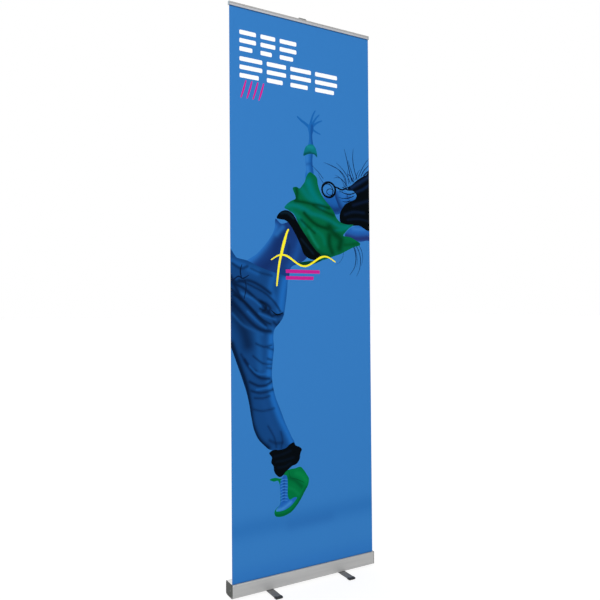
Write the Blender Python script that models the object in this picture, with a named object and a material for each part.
"""Roll-up banner stand: a spring-loaded roller casing on two swivelling feet, a four-section
telescopic mast that leans back a little, and a snap rail that carries the top of the banner.

Metres, +Z up, +X to the reader's right, +Y away from the reader.  The origin is on the floor,
under the middle of the casing.  Everything on the mast is placed in the mast's own leaning frame.
"""
import bpy
import bmesh
import math
from mathutils import Matrix, Vector

# ---------------------------------------------------------------- driving dimensions
GAP = 0.0003                    # air left between pieces that touch
BANNER_WIDTH = 0.920
BANNER_THICK = 0.0005
LEAN = math.radians(0.80)       # mast and banner lean back together

CASE_WIDTH = 0.930              # over the end caps
CASE_DEPTH = 0.080
CASE_BOTTOM = 0.0115
CASE_TOP = 0.0840
CASE_WALL = 0.0016
CAP_THICK = 0.0027
COVER_THICK = 0.0015

ROLLER_Z = 0.047
ROLLER_RADIUS = 0.014
ROLL_RADIUS = 0.0155            # tube with the last turns of banner on it

FOOT_X = 0.2355
FOOT_LENGTH = 0.288
FOOT_WIDTH = 0.041
FOOT_BAR_BOTTOM = 0.0045
FOOT_BAR_TOP = 0.0095

MAST_Y = 0.0230                 # where the mast's axis meets the floor
BANNER_SET = 0.0530             # banner plane, this far in front of the mast's axis
POLE_RADII = (0.0115, 0.0101, 0.0087, 0.0073)
POLE_WALL = 0.0010
POLE_OVERLAP = 0.095            # left between two sections when the mast is fully out
RAIL_BOTTOM = 3.1805            # along the mast
RAIL_HEIGHT = 0.0205

# ---------------------------------------------------------------- worked out from those
CASE_FRONT = -CASE_DEPTH / 2
CASE_BACK = CASE_DEPTH / 2
PROFILE_HALF = CASE_WIDTH / 2 - CAP_THICK - GAP
BANNER_HALF = BANNER_WIDTH / 2
BANNER_FOOT_Y = MAST_Y - BANNER_SET / math.cos(LEAN)
ROLLER_Y = (BANNER_FOOT_Y + ROLLER_Z * math.tan(LEAN)
            + (ROLL_RADIUS + GAP + BANNER_THICK / 2) / math.cos(LEAN))
HOUSING_FRONT = CASE_FRONT + COVER_THICK + GAP
HOUSING_BOTTOM = CASE_BOTTOM + COVER_THICK + GAP
FOOT_PLUG_HEAD = 0.003
PLUG_SPIGOT = 0.013
POLE_BOTTOM = 0.0238
NEST_STEP = FOOT_PLUG_HEAD + PLUG_SPIGOT + 0.0007
COLLAR_BELOW = 0.030
COLLAR_ABOVE = 0.006
COLLAR_STEP = COLLAR_BELOW + COLLAR_ABOVE + 0.002
POLE_TOP = RAIL_BOTTOM + 0.005
SECTIONS = len(POLE_RADII)
# the lowest overlap is the tightest: top of section 1 - bottom of section 2 = POLE_OVERLAP
SECTION_1_TOP = (POLE_TOP - (SECTIONS - 1) * COLLAR_STEP
                 + (SECTIONS - 1) * (POLE_BOTTOM + NEST_STEP + POLE_OVERLAP)) / SECTIONS
POLE_TRAVEL = SECTION_1_TOP - POLE_BOTTOM - NEST_STEP - POLE_OVERLAP
BANNER_SEAM = ROLLER_Z + (SECTIONS - 1) * POLE_TRAVEL

for leftover in list(bpy.data.objects):
    bpy.data.objects.remove(leftover, do_unlink=True)


# ---------------------------------------------------------------- materials
def finish(name, colour, roughness, metallic):
    material = bpy.data.materials.new(name)
    material.use_nodes = True
    shader = material.node_tree.nodes["Principled BSDF"]
    shader.inputs["Base Color"].default_value = (*colour, 1.0)
    shader.inputs["Roughness"].default_value = roughness
    shader.inputs["Metallic"].default_value = metallic
    return material


ALUMINIUM = finish("anodised_aluminium", (0.62, 0.62, 0.62), 0.35, 0.9)
RAIL_ALUMINIUM = finish("rail_aluminium", (0.70, 0.71, 0.74), 0.30, 0.9)
DARK_PLASTIC = finish("dark_grey_plastic", (0.10, 0.105, 0.10), 0.50, 0.0)
BLACK_PLASTIC = finish("black_plastic", (0.012, 0.013, 0.014), 0.45, 0.0)
PALE_PLASTIC = finish("pale_grey_plastic", (0.30, 0.36, 0.40), 0.45, 0.0)
FOOT_PAINT = finish("foot_grey_paint", (0.17, 0.175, 0.185), 0.50, 0.4)
STEEL = finish("zinc_steel", (0.55, 0.55, 0.53), 0.30, 1.0)
RUBBER = finish("black_rubber", (0.02, 0.02, 0.02), 0.90, 0.0)
FILM = finish("banner_film", (0.035, 0.19, 0.52), 0.55, 0.0)
PILE = finish("slot_pile", (0.05, 0.05, 0.05), 0.95, 0.0)


# ---------------------------------------------------------------- outlines
def rounded(corners):
    """Corners are (a, b, radius); each one with a radius becomes an arc."""
    points = []
    count = len(corners)
    for i, (a, b, radius) in enumerate(corners):
        here = Vector((a, b))
        if radius <= 0:
            points.append((a, b))
            continue
        back = (Vector(corners[i - 1][:2]) - here).normalized()
        ahead = (Vector(corners[(i + 1) % count][:2]) - here).normalized()
        half = back.angle(ahead) / 2
        centre = here + (back + ahead).normalized() * (radius / math.sin(half))
        first = here + back * (radius / math.tan(half)) - centre
        last = here + ahead * (radius / math.tan(half)) - centre
        sweep = first.angle_signed(last)
        steps = 3 + int(radius * 450)
        for step in range(steps + 1):
            turned_by = -sweep * step / steps
            spoke = Matrix.Rotation(turned_by, 2) @ first
            points.append(tuple(centre + spoke))
    return points


def wall_outline(path, thickness):
    """Outline of a bent strip: the path itself, and the same path moved to its left."""
    inner = []
    for i, (a, b) in enumerate(path):
        here = Vector((a, b))
        before = Vector(path[i - 1]) if i > 0 else None
        after = Vector(path[i + 1]) if i + 1 < len(path) else None
        first = (here - before).normalized() if before else (after - here).normalized()
        second = (after - here).normalized() if after else first
        normal = Vector((-first.y, first.x)) + Vector((-second.y, second.x))
        normal.normalize()
        reach = thickness / max(0.3, normal.dot(Vector((-first.y, first.x))))
        inner.append(tuple(here + normal * reach))
    return list(path) + inner[::-1]


# ---------------------------------------------------------------- solids
def add_object(name, bm, material, parent=None, place=(0, 0, 0), smooth=None):
    bmesh.ops.recalc_face_normals(bm, faces=bm.faces)
    mesh = bpy.data.meshes.new(name)
    bm.to_mesh(mesh)
    bm.free()
    mesh.materials.append(material)
    piece = bpy.data.objects.new(name, mesh)
    bpy.context.scene.collection.objects.link(piece)
    piece.location = place
    piece.parent = parent
    if smooth:
        mesh.shade_smooth()
        mesh.set_sharp_from_angle(angle=math.radians(smooth))
    return piece


def empty(name, place, parent=None, rotation=(0, 0, 0)):
    axis = bpy.data.objects.new(name, None)
    bpy.context.scene.collection.objects.link(axis)
    axis.location = place
    axis.rotation_euler = rotation
    axis.parent = parent
    return axis


AXES = {"x": Matrix(((0, 0, 1), (1, 0, 0), (0, 1, 0))),      # outline (y, z), drawn along x
        "y": Matrix(((1, 0, 0), (0, 0, 1), (0, 1, 0))),      # outline (x, z), drawn along y
        "z": Matrix(((1, 0, 0), (0, 1, 0), (0, 0, 1)))}      # outline (x, y), drawn along z


def prism(outline, low, high, along):
    """Closed extrusion of an outline between two stations on one axis."""
    turn = AXES[along]
    bm = bmesh.new()
    rings = []
    for station in (low, high):
        rings.append([bm.verts.new(turn @ Vector((a, b, station))) for a, b in outline])
    count = len(outline)
    for i in range(count):
        j = (i + 1) % count
        bm.faces.new((rings[0][i], rings[0][j], rings[1][j], rings[1][i]))
    bm.faces.new(rings[0][::-1])
    bm.faces.new(rings[1])
    return bm


def block(low, high):
    corners = [(low[0], low[1]), (high[0], low[1]), (high[0], high[1]), (low[0], high[1])]
    return prism(corners, low[2], high[2], "z")


def turned(profile, segments=24, along="z", flutes=0):
    """Turned solid about an axis.  Profile points are (radius, height) or (radius, height,
    flute depth); a point at radius 0 closes the solid on the axis."""
    turn = AXES[along]
    bm = bmesh.new()
    rings = []
    for point in profile:
        radius, height = point[0], point[1]
        depth = point[2] if len(point) > 2 else 0.0
        if radius == 0:
            rings.append([bm.verts.new(turn @ Vector((0, 0, height)))])
            continue
        ring = []
        for i in range(segments):
            angle = 2 * math.pi * i / segments
            here = radius - depth * (0.5 - 0.5 * math.cos(flutes * angle))
            ring.append(bm.verts.new(turn @ Vector((here * math.cos(angle),
                                                    here * math.sin(angle), height))))
        rings.append(ring)
    closed = all(point[0] > 0 for point in profile)
    pairs = list(zip(rings, rings[1:] + rings[:1])) if closed else list(zip(rings, rings[1:]))
    for first, second in pairs:
        for i in range(segments):
            j = (i + 1) % segments
            if len(first) == 1:
                bm.faces.new((first[0], second[i], second[j]))
            elif len(second) == 1:
                bm.faces.new((first[i], second[0], first[j]))
            else:
                bm.faces.new((first[i], second[i], second[j], first[j]))
    return bm


def tube(outer, inner, low, high, segments=32, along="z"):
    return turned([(outer, low), (outer, high), (inner, high), (inner, low)], segments, along)


def rod(radius, low, high, segments=16, along="z"):
    return turned([(0, low), (radius, low), (radius, high), (0, high)], segments, along)


def shape_with(piece, name, bm, operation, parent=None, place=(0, 0, 0)):
    """Cut a shape out of a piece, or weld it on, with a Boolean modifier."""
    tool = add_object(name, bm, piece.data.materials[0], parent, place)
    tool.hide_render = True
    tool.display_type = "WIRE"
    change = piece.modifiers.new(name, "BOOLEAN")
    change.operation = operation
    change.object = tool
    return piece


mast = empty("mast_axis", (0, MAST_Y, 0), None, (-LEAN, 0, 0))
roller_axis = empty("roller_axis", (0, ROLLER_Y, ROLLER_Z))

# ---------------------------------------------------------------- casing
SLOT_FRONT = -0.0325
SLOT_BACK = -0.0255
FLANGE_BOTTOM = 0.0745
BACK_CORNER = 0.014             # big radius along the lower back edge
NOSE_RADIUS = 0.0072            # bull nose along the cover's upper front edge
HOUSING_NOSE = 0.0040
LIP_TOP = CASE_TOP - COVER_THICK - GAP - 0.0015
PILE_LOW = 0.0755
PILE_HIGH = 0.0808
PILE_THICK = 0.0018
PORT_OUTER = 0.0032             # screw ports run the length of the extrusion
PORT_BORE = 0.0017
PORTS = ((HOUSING_FRONT + CASE_WALL + 0.0030, HOUSING_BOTTOM + CASE_WALL + 0.0030),
         (0.0180, HOUSING_BOTTOM + CASE_WALL + 0.0030),
         (CASE_BACK - CASE_WALL - 0.0030, CASE_TOP - CASE_WALL - 0.0030))
BOLT_BORE = 0.0033
SOCKET_RADIUS = 0.0137
SOCKET_HOLE = 0.0141


housing_path = rounded([
    (SLOT_BACK, FLANGE_BOTTOM, 0),
    (SLOT_BACK, CASE_TOP, 0),
    (CASE_BACK, CASE_TOP, 0.002),
    (CASE_BACK, HOUSING_BOTTOM, BACK_CORNER - COVER_THICK),
    (HOUSING_FRONT, HOUSING_BOTTOM, 0.0018),
    (HOUSING_FRONT, LIP_TOP, HOUSING_NOSE),
    (SLOT_FRONT, LIP_TOP, 0),
    (SLOT_FRONT, FLANGE_BOTTOM, 0)])
# the path runs clockwise seen from +X, so the wall thickens to its right: walk it backwards
housing = add_object("base_housing",
                     prism(wall_outline(housing_path[::-1], CASE_WALL),
                           -PROFILE_HALF, PROFILE_HALF, "x"), ALUMINIUM)
for number, (port_y, port_z) in enumerate(PORTS, 1):
    shape_with(housing, f"port_{number}",
               tube(PORT_OUTER, PORT_BORE, -PROFILE_HALF, PROFILE_HALF, 16, "x"),
               "UNION", None, (0, port_y, port_z))
for side, sign in (("left", -1), ("right", 1)):
    shape_with(housing, f"foot_bolt_hole_{side}",
               rod(BOLT_BORE, 0.010, 0.017), "DIFFERENCE", None, (sign * FOOT_X, 0, 0))
shape_with(housing, "mast_hole", rod(SOCKET_HOLE, 0.0735, 0.087, 32), "DIFFERENCE", None,
           (0, MAST_Y + 0.080 * math.tan(LEAN), 0))

cover_path = rounded([
    (CASE_FRONT + 0.006, CASE_BOTTOM, 0),
    (CASE_FRONT, CASE_BOTTOM, 0.0025),
    (CASE_FRONT, CASE_TOP, NOSE_RADIUS),
    (SLOT_FRONT, CASE_TOP, 0)])
add_object("front_cover", prism(wall_outline(cover_path[::-1], COVER_THICK),
                                -PROFILE_HALF, PROFILE_HALF, "x"), ALUMINIUM)

for label, low, high in (("front", SLOT_FRONT + GAP, SLOT_FRONT + GAP + PILE_THICK),
                         ("rear", SLOT_BACK - GAP - PILE_THICK, SLOT_BACK - GAP)):
    add_object(f"slot_pile_{label}",
               block((-PROFILE_HALF + 0.003, low, PILE_LOW), (PROFILE_HALF - 0.003, high, PILE_HIGH)),
               PILE)

# ---------------------------------------------------------------- end caps and their screws
CAP_INNER = CASE_WIDTH / 2 - CAP_THICK
BOSS_RADIUS = 0.006
BOSS_END = 0.456
AXLE_RADIUS = 0.003
AXLE_BORE = 0.0033
HEAD_RADIUS = 0.0029
HEAD_THICK = 0.0011
HEAD_RECESS = 0.0014

cap_outline = rounded([
    (CASE_FRONT, CASE_BOTTOM, 0.0025),
    (CASE_BACK, CASE_BOTTOM, BACK_CORNER),
    (CASE_BACK, CASE_TOP, 0.002),
    (CASE_FRONT, CASE_TOP, 0.0019)])    # stands proud of the cover's bull nose


def span(sign, near, far):
    """Two stations on one side of the middle, in rising order."""
    return sorted((sign * near, sign * far))


for side, sign in (("left", -1), ("right", 1)):
    low, high = span(sign, CAP_INNER, CASE_WIDTH / 2)
    cap = add_object(f"end_cap_{side}", prism(cap_outline, low, high, "x"), DARK_PLASTIC)
    low, high = span(sign, BOSS_END, CAP_INNER + 0.001)
    shape_with(cap, f"axle_boss_{side}", rod(BOSS_RADIUS, low, high, 24, "x"), "UNION",
               None, (0, ROLLER_Y, ROLLER_Z))
    low, high = span(sign, BOSS_END - 0.002, CASE_WIDTH / 2 + 0.002)
    shape_with(cap, f"axle_hole_{side}", rod(AXLE_BORE, low, high, 16, "x"), "DIFFERENCE",
               None, (0, ROLLER_Y, ROLLER_Z))
    for number, (port_y, port_z) in enumerate(PORTS, 1):
        face = CASE_WIDTH / 2
        hole = [(0, sign * (CAP_INNER - 0.002)), (0.0019, sign * (CAP_INNER - 0.002)),
                (0.0019, sign * (face - HEAD_RECESS)), (0.0033, sign * (face - HEAD_RECESS)),
                (0.0033, sign * (face + 0.002)), (0, sign * (face + 0.002))]
        shape_with(cap, f"screw_hole_{side}_{number}", turned(hole, 16, "x"), "DIFFERENCE",
                   None, (0, port_y, port_z))
        head = face - HEAD_RECESS + GAP
        screw = [(0, sign * (head + HEAD_THICK)), (HEAD_RADIUS, sign * (head + HEAD_THICK)),
                 (HEAD_RADIUS, sign * head), (0.0014, sign * head),
                 (0.0014, sign * (face - 0.014)), (0, sign * (face - 0.014))]
        add_object(f"end_cap_screw_{side}_{number}", turned(screw, 12, "x"), STEEL,
                   None, (0, port_y, port_z), 40)

# ---------------------------------------------------------------- roller, spring and axles
TUBE_HALF = 0.459
BUSH_RADIUS = ROLLER_RADIUS - POLE_WALL - GAP
ARBOR_END = -0.090
SPRING_LEFT = -0.440
SPRING_RIGHT = -0.117
SPRING_TURNS = 12
SPRING_MEAN = 0.0085
SPRING_WIRE = 0.0008
BUSH_INNER = 0.443
BUSH_OUTER = 0.455
AXLE_END = 0.4645
IDLER_START = 0.438
DRIVE_PLUG = (-0.114, -0.099)

add_object("roller_tube", tube(ROLLER_RADIUS, ROLLER_RADIUS - POLE_WALL, -TUBE_HALF, TUBE_HALF,
                               32, "x"), ALUMINIUM, roller_axis, (0, 0, 0), 40)
add_object("banner_roll", tube(ROLL_RADIUS, ROLLER_RADIUS + GAP, -BANNER_HALF, BANNER_HALF,
                               32, "x"), FILM, roller_axis, (0, 0, 0), 40)
for name, low, high in (("roller_bush_left", -BUSH_OUTER, -BUSH_INNER),
                        ("roller_bush_right", BUSH_INNER, BUSH_OUTER),
                        ("spring_drive_plug", *DRIVE_PLUG)):
    add_object(name, tube(BUSH_RADIUS, AXLE_BORE, low, high, 24, "x"), BLACK_PLASTIC,
               roller_axis, (0, 0, 0), 40)
add_object("spring_arbor", rod(AXLE_RADIUS, -AXLE_END, ARBOR_END, 16, "x"), STEEL,
           roller_axis, (0, 0, 0), 40)
add_object("idler_pin", rod(AXLE_RADIUS, IDLER_START, AXLE_END, 16, "x"), STEEL,
           roller_axis, (0, 0, 0), 40)


def coil(mean, wire, left, right, turns, per_turn=10, sides=5):
    """Wire wound about X as one closed tube with flat ends."""
    bm = bmesh.new()
    rings = []
    for step in range(turns * per_turn + 1):
        share = step / (turns * per_turn)
        angle = 2 * math.pi * turns * share
        outward = Vector((0, math.cos(angle), math.sin(angle)))
        centre = outward * mean + Vector((left + (right - left) * share, 0, 0))
        ring = []
        for side_step in range(sides):
            lean = 2 * math.pi * side_step / sides
            offset = outward * math.cos(lean) + Vector((1, 0, 0)) * math.sin(lean)
            ring.append(bm.verts.new(centre + offset * wire))
        rings.append(ring)
    for first, second in zip(rings, rings[1:]):
        for i in range(sides):
            j = (i + 1) % sides
            bm.faces.new((first[i], first[j], second[j], second[i]))
    bm.faces.new(rings[0][::-1])
    bm.faces.new(rings[-1])
    return bm


add_object("torsion_spring", coil(SPRING_MEAN, SPRING_WIRE, SPRING_LEFT, SPRING_RIGHT,
                                  SPRING_TURNS), STEEL, roller_axis, (0, 0, 0), 60)

# ---------------------------------------------------------------- feet
TIP_LENGTH = 0.0225
TIP_OVERHANG = 0.0015
TIP_BOTTOM = 0.0028
TIP_TOP = 0.0106
PAD_SIZE = (0.030, 0.014)
WASHER_RADIUS = 0.009
BOLT_RADIUS = 0.003
BOLT_HEAD = (0.0050, 0.0060)    # radius at the bottom of the head and under the bar
BOLT_LOW = 0.0021
BOLT_TOP = 0.0215
NUT_PLATE = (0.024, 0.020, 0.005)
BAR_END = FOOT_LENGTH / 2 - 0.003

for side, sign in (("left", -1), ("right", 1)):
    pivot = empty(f"{side}_foot_pivot", (sign * FOOT_X, 0, 0))
    half = FOOT_WIDTH / 2
    bar = add_object(f"foot_bar_{side}",
                     prism(rounded([(-half, -BAR_END, 0.004), (half, -BAR_END, 0.004),
                                    (half, BAR_END, 0.004), (-half, BAR_END, 0.004)]),
                           FOOT_BAR_BOTTOM, FOOT_BAR_TOP, "z"), FOOT_PAINT, pivot)
    shape_with(bar, f"bar_hole_{side}", rod(BOLT_BORE, 0.003, 0.011), "DIFFERENCE", pivot)
    for label, end in (("front", -1), ("rear", 1)):
        outer = end * FOOT_LENGTH / 2
        inner = end * (FOOT_LENGTH / 2 - TIP_LENGTH)
        wide = half + TIP_OVERHANG
        corner = 0.005
        outline = [(-wide, inner, 0), (wide, inner, 0), (wide, outer, corner),
                   (-wide, outer, corner)]
        tip = add_object(f"foot_tip_{side}_{label}",
                         prism(rounded(outline), TIP_BOTTOM, TIP_TOP, "z"), BLACK_PLASTIC, pivot)
        pocket_outer = end * (BAR_END + GAP)
        low_y, high_y = sorted((inner - end * 0.002, pocket_outer))
        shape_with(tip, f"tip_pocket_{side}_{label}",
                   block((-half - GAP, low_y, FOOT_BAR_BOTTOM - GAP),
                         (half + GAP, high_y, FOOT_BAR_TOP + GAP)), "DIFFERENCE", pivot)
        pad_y = end * (FOOT_LENGTH / 2 - TIP_LENGTH / 2)
        add_object(f"foot_pad_{side}_{label}",
                   block((-PAD_SIZE[0] / 2, pad_y - PAD_SIZE[1] / 2, 0),
                         (PAD_SIZE[0] / 2, pad_y + PAD_SIZE[1] / 2, TIP_BOTTOM - GAP)),
                   RUBBER, pivot)
    add_object(f"foot_washer_{side}", tube(WASHER_RADIUS, BOLT_BORE, FOOT_BAR_TOP + GAP,
                                           HOUSING_BOTTOM - GAP, 24), BLACK_PLASTIC, pivot,
               (0, 0, 0), 40)
    bolt = [(0, BOLT_LOW), (BOLT_HEAD[0], BOLT_LOW), (BOLT_HEAD[1], BOLT_LOW + 0.001),
            (BOLT_HEAD[1], FOOT_BAR_BOTTOM - GAP), (BOLT_RADIUS, FOOT_BAR_BOTTOM - GAP),
            (BOLT_RADIUS, BOLT_TOP), (0, BOLT_TOP)]
    add_object(f"foot_bolt_{side}", turned(bolt, 20), STEEL, pivot, (0, 0, 0), 40)
    plate_low = HOUSING_BOTTOM + CASE_WALL + GAP
    plate = add_object(f"foot_nut_plate_{side}",
                       block((-NUT_PLATE[0] / 2, -NUT_PLATE[1] / 2, plate_low),
                             (NUT_PLATE[0] / 2, NUT_PLATE[1] / 2, plate_low + NUT_PLATE[2])),
                       STEEL, pivot)
    shape_with(plate, f"nut_hole_{side}", rod(BOLT_BORE, 0.012, 0.024), "DIFFERENCE", pivot)

# ---------------------------------------------------------------- mast socket
SOCKET_BOTTOM = 0.0215
SOCKET_FLOOR = POLE_BOTTOM - GAP
SOCKET_TOP = 0.0870
SOCKET_FLANGE = 0.0155
FLANGE_SEAT = 0.0846
SCREW_HEIGHTS = (0.038, 0.062)
SCREW_CLEARANCE = 0.0021
SCREW_SHANK = 0.0018
SCREW_HEAD = (0.0038, 0.0034)   # radius under the head and at its top
SOCKET_BORE = POLE_RADII[0] + GAP

socket = add_object("mast_socket", turned([
    (0, SOCKET_BOTTOM), (SOCKET_RADIUS, SOCKET_BOTTOM), (SOCKET_RADIUS, FLANGE_SEAT),
    (SOCKET_FLANGE, FLANGE_SEAT), (SOCKET_FLANGE, SOCKET_TOP - 0.0008),
    (SOCKET_FLANGE - 0.0008, SOCKET_TOP), (SOCKET_BORE, SOCKET_TOP),
    (SOCKET_BORE, SOCKET_FLOOR), (0, SOCKET_FLOOR)], 32), BLACK_PLASTIC, mast, (0, 0, 0), 40)
for number, height in enumerate(SCREW_HEIGHTS, 1):
    shape_with(housing, f"socket_screw_hole_{number}",
               rod(SCREW_CLEARANCE, CASE_BACK - 0.004, CASE_BACK + 0.002, 16, "y"),
               "DIFFERENCE", None, (0, 0, height))
    shape_with(socket, f"socket_thread_{number}",
               rod(SCREW_CLEARANCE, MAST_Y + SOCKET_BORE - 0.001, CASE_BACK, 16, "y"),
               "DIFFERENCE", None, (0, 0, height))
    reach = MAST_Y + height * math.tan(LEAN) + SOCKET_BORE + GAP
    head = CASE_BACK + GAP
    add_object(f"socket_screw_{number}", turned([
        (0, reach), (SCREW_SHANK, reach), (SCREW_SHANK, head), (SCREW_HEAD[0], head),
        (SCREW_HEAD[1], head + 0.0018), (0, head + 0.0018)], 12, "y"), STEEL,
        None, (0, 0, height), 40)

# ---------------------------------------------------------------- telescopic mast
for k, radius in enumerate(POLE_RADII):
    number = k + 1
    bottom = POLE_BOTTOM + NEST_STEP * k + POLE_TRAVEL * k
    top = SECTION_1_TOP + COLLAR_STEP * k + POLE_TRAVEL * k
    bore = radius - POLE_WALL
    start = bottom + FOOT_PLUG_HEAD + GAP
    station = empty(f"mast_section_{number}_bottom", (0, 0, bottom), mast)
    add_object(f"mast_section_{number}", tube(radius, bore, start - bottom, top - bottom, 32),
               ALUMINIUM, station, (0, 0, 0), 40)
    plug = [(0, 0), (radius - 0.0006, 0), (radius, 0.0006), (radius, FOOT_PLUG_HEAD),
            (bore - GAP, FOOT_PLUG_HEAD), (bore - GAP, FOOT_PLUG_HEAD + PLUG_SPIGOT - 0.001),
            (bore - 0.0013, FOOT_PLUG_HEAD + PLUG_SPIGOT), (0, FOOT_PLUG_HEAD + PLUG_SPIGOT)]
    add_object(f"mast_plug_{number}", turned(plug, 24), BLACK_PLASTIC, station, (0, 0, 0), 40)
    if number < SECTIONS:
        over = top - bottom
        grip = radius + 0.0032
        lip = POLE_RADII[k + 1] + 0.00035
        flute = 0.0007
        collar = [(radius + GAP, over - COLLAR_BELOW), (grip - 0.0012, over - COLLAR_BELOW),
                  (grip, over - COLLAR_BELOW + 0.003, flute), (grip, over - 0.002, flute),
                  (grip - 0.0010, over + 0.0015), (lip + 0.0018, over + COLLAR_ABOVE),
                  (lip, over + COLLAR_ABOVE), (lip, over + GAP), (radius + GAP, over + GAP)]
        add_object(f"lock_collar_{number}", turned(collar, 24, "z", 8), BLACK_PLASTIC,
                   station, (0, 0, 0), 35)

# ---------------------------------------------------------------- hook on top of the mast
# Heights here are above the rail's lower edge; depths are behind the banner plane.
hook_station = empty("rail_line", (0, 0, RAIL_BOTTOM), mast)
rail_station = empty("banner_line", (0, -BANNER_SET, 0), hook_station)
TOP_RADIUS = POLE_RADII[-1]
SLEEVE_BORE = TOP_RADIUS + GAP
SLEEVE_RADIUS = 0.0106
TONGUE = (0.0033, 0.0063)       # depth range of the upright tongue
TONGUE_HALF = 0.025
SHOULDER_HALF = 0.032
SHOULDER_TOP = 0.0186
TONGUE_TOP = 0.0300
ARM_LOW = 0.004
ARM_HIGH = 0.009

hook = add_object("mast_hook", turned([
    (0, 0.0053), (SLEEVE_BORE, 0.0053), (SLEEVE_BORE, -0.022), (SLEEVE_RADIUS, -0.022),
    (SLEEVE_RADIUS, ARM_HIGH - 0.001), (SLEEVE_RADIUS - 0.001, ARM_HIGH), (0, ARM_HIGH)], 28),
    DARK_PLASTIC, hook_station, (0, 0, 0), 40)
arm_back = BANNER_SET - SLEEVE_BORE - 0.001
shape_with(hook, "hook_arm", block((-0.018, TONGUE[0] + 0.001, ARM_LOW),
                                   (0.018, arm_back, ARM_HIGH)), "UNION", rail_station)
shape_with(hook, "hook_rib", prism([(TONGUE[1] + 0.002, ARM_LOW + 0.001),
                                    (arm_back, -0.018), (arm_back, ARM_LOW + 0.001)],
                                   -0.0025, 0.0025, "x"), "UNION", rail_station)
tongue_corner = 0.004
shape_with(hook, "hook_tongue", prism(rounded([
    (-SHOULDER_HALF, ARM_LOW, 0.002), (SHOULDER_HALF, ARM_LOW, 0.002),
    (SHOULDER_HALF, SHOULDER_TOP, 0), (TONGUE_HALF, SHOULDER_TOP, 0),
    (TONGUE_HALF, TONGUE_TOP, tongue_corner), (-TONGUE_HALF, TONGUE_TOP, tongue_corner),
    (-TONGUE_HALF, SHOULDER_TOP, 0), (-SHOULDER_HALF, SHOULDER_TOP, 0)]),
    TONGUE[0], TONGUE[1], "y"), "UNION", rail_station)
SCREW_HEIGHT = -0.012
shape_with(hook, "hook_screw_hole", rod(0.0017, SLEEVE_BORE - 0.001, SLEEVE_RADIUS + 0.002,
                                        16, "y"), "DIFFERENCE", hook_station,
           (0, 0, SCREW_HEIGHT))
add_object("hook_screw", turned([
    (0, SLEEVE_BORE), (0.0014, SLEEVE_BORE), (0.0014, SLEEVE_RADIUS + GAP),
    (0.0028, SLEEVE_RADIUS + GAP), (0.0024, SLEEVE_RADIUS + 0.0018),
    (0, SLEEVE_RADIUS + 0.0018)], 12, "y"), STEEL, hook_station, (0, 0, SCREW_HEIGHT), 40)

# ---------------------------------------------------------------- snap rail
RAIL_FRONT = -0.0060
RAIL_BACK = 0.0090
JAW_GAP = 0.0006                # each jaw face to the banner's middle
BACK_WALL = 0.0022
WEB_LOW = 0.0189
CHANNEL_BACK = 0.0074           # downward channel that drops over the tongue
CHANNEL_LOW = 0.0155
HINGE_DEPTH = -0.0048
HINGE_HEIGHT = 0.0111
HINGE_RADIUS = 0.0012
HOOD_LOW = HINGE_HEIGHT + HINGE_RADIUS + 0.0004
HOOD_INNER = -0.0047
JAW_INNER = -0.0046
JAW_LIP = 0.0016

rail_outline = rounded([
    (JAW_GAP, 0, 0), (BACK_WALL, 0, 0), (BACK_WALL, WEB_LOW, 0), (CHANNEL_BACK, WEB_LOW, 0),
    (CHANNEL_BACK, CHANNEL_LOW, 0), (RAIL_BACK, CHANNEL_LOW, 0),
    (RAIL_BACK, RAIL_HEIGHT, 0.0010), (RAIL_FRONT, RAIL_HEIGHT, 0.0030),
    (RAIL_FRONT, HOOD_LOW, 0), (HOOD_INNER, HOOD_LOW, 0), (HOOD_INNER, WEB_LOW, 0.0016),
    (JAW_GAP, WEB_LOW, 0)])
rail = add_object("top_rail", prism(rail_outline, -BANNER_HALF, BANNER_HALF, "x"),
                  RAIL_ALUMINIUM, rail_station)
shape_with(rail, "tongue_slot", block((-TONGUE_HALF - 0.0015, TONGUE[0] - 0.0005, 0.0175),
                                      (TONGUE_HALF + 0.0015, TONGUE[1] + 0.0006, 0.0225)),
           "DIFFERENCE", rail_station)

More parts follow.
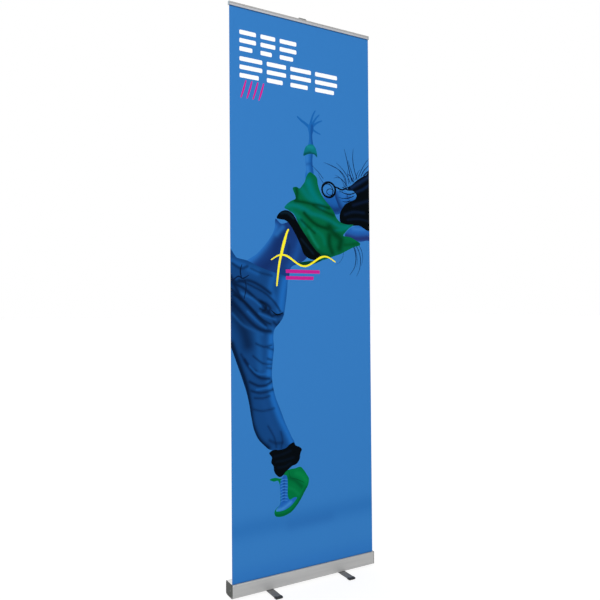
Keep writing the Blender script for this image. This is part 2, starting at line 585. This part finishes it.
hinge = empty("rail_jaw_hinge", (0, HINGE_DEPTH, HINGE_HEIGHT), rail_station)
bead = []
for step in range(7):
    angle = math.pi * step / 6
    bead.append((HINGE_RADIUS * math.cos(angle), HINGE_RADIUS * math.sin(angle)))
jaw_outline = bead + [
    (RAIL_FRONT - HINGE_DEPTH, 0.0012 - HINGE_HEIGHT),
    (RAIL_FRONT + 0.0004 - HINGE_DEPTH, 0.0004 - HINGE_HEIGHT),
    (RAIL_FRONT + 0.0012 - HINGE_DEPTH, -HINGE_HEIGHT),
    (-JAW_GAP - HINGE_DEPTH, -HINGE_HEIGHT),
    (-JAW_GAP - HINGE_DEPTH, JAW_LIP - HINGE_HEIGHT),
    (JAW_INNER - HINGE_DEPTH, JAW_LIP - HINGE_HEIGHT),
    (JAW_INNER - HINGE_DEPTH, -HINGE_RADIUS)]
add_object("rail_front_jaw", prism(jaw_outline, -BANNER_HALF + 0.0004, BANNER_HALF - 0.0004, "x"),
           RAIL_ALUMINIUM, hinge, (0, 0, 0), 40)

rail_cap_outline = rounded([
    (RAIL_FRONT, 0, 0.0012), (RAIL_BACK, 0, 0.0012), (RAIL_BACK, RAIL_HEIGHT, 0.0012),
    (RAIL_FRONT, RAIL_HEIGHT, 0.0030)])
for side, sign in (("left", -1), ("right", 1)):
    low, high = span(sign, BANNER_HALF + GAP, BANNER_HALF + 0.0033)
    add_object(f"rail_cap_{side}", prism(rail_cap_outline, low, high, "x"), PALE_PLASTIC,
               rail_station)

# ---------------------------------------------------------------- banner
# Two lengths of one sheet, parted where the lower one has gone onto the roller by the time
# the mast is fully down.
BANNER_TOP = RAIL_BOTTOM + 0.018
banner_line = empty("banner_plane", (0, -BANNER_SET, 0), mast)
for name, low, high in (("banner_lower", ROLLER_Z, BANNER_SEAM - GAP),
                        ("banner_upper", BANNER_SEAM, BANNER_TOP)):
    add_object(name, block((-BANNER_HALF, -BANNER_THICK / 2, low),
                           (BANNER_HALF, BANNER_THICK / 2, high)), FILM, banner_line)
